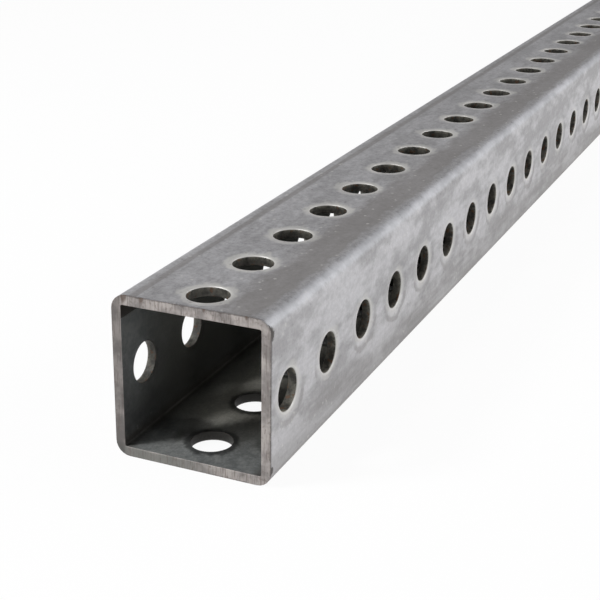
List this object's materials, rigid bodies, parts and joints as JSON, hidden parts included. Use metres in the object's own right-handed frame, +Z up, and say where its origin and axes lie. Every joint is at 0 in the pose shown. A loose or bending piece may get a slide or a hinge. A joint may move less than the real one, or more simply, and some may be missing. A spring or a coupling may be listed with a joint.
{
  "type": "perforated square sign post tube",
  "caption": "Square steel sign post tube with evenly punched round holes along all four sides, galvanised, with sawn open ends.",
  "frame": {"origin": "centre of the tube's footprint, on the floor under the middle of its length", "axes": "+X along the tube away from the leaning saw cut, +Z up out of the top wall, +Y out of one side wall"},
  "size_m": [0.9144, 0.0444, 0.0444],
  "materials": {
    "galvanised_steel": "galvanised zinc, satin grey with soft mottling, bare sawn edge at the near end"
  },
  "bodies": {
    "root": {"post_tube": "galvanised_steel"}
  },
  "joints": []
}
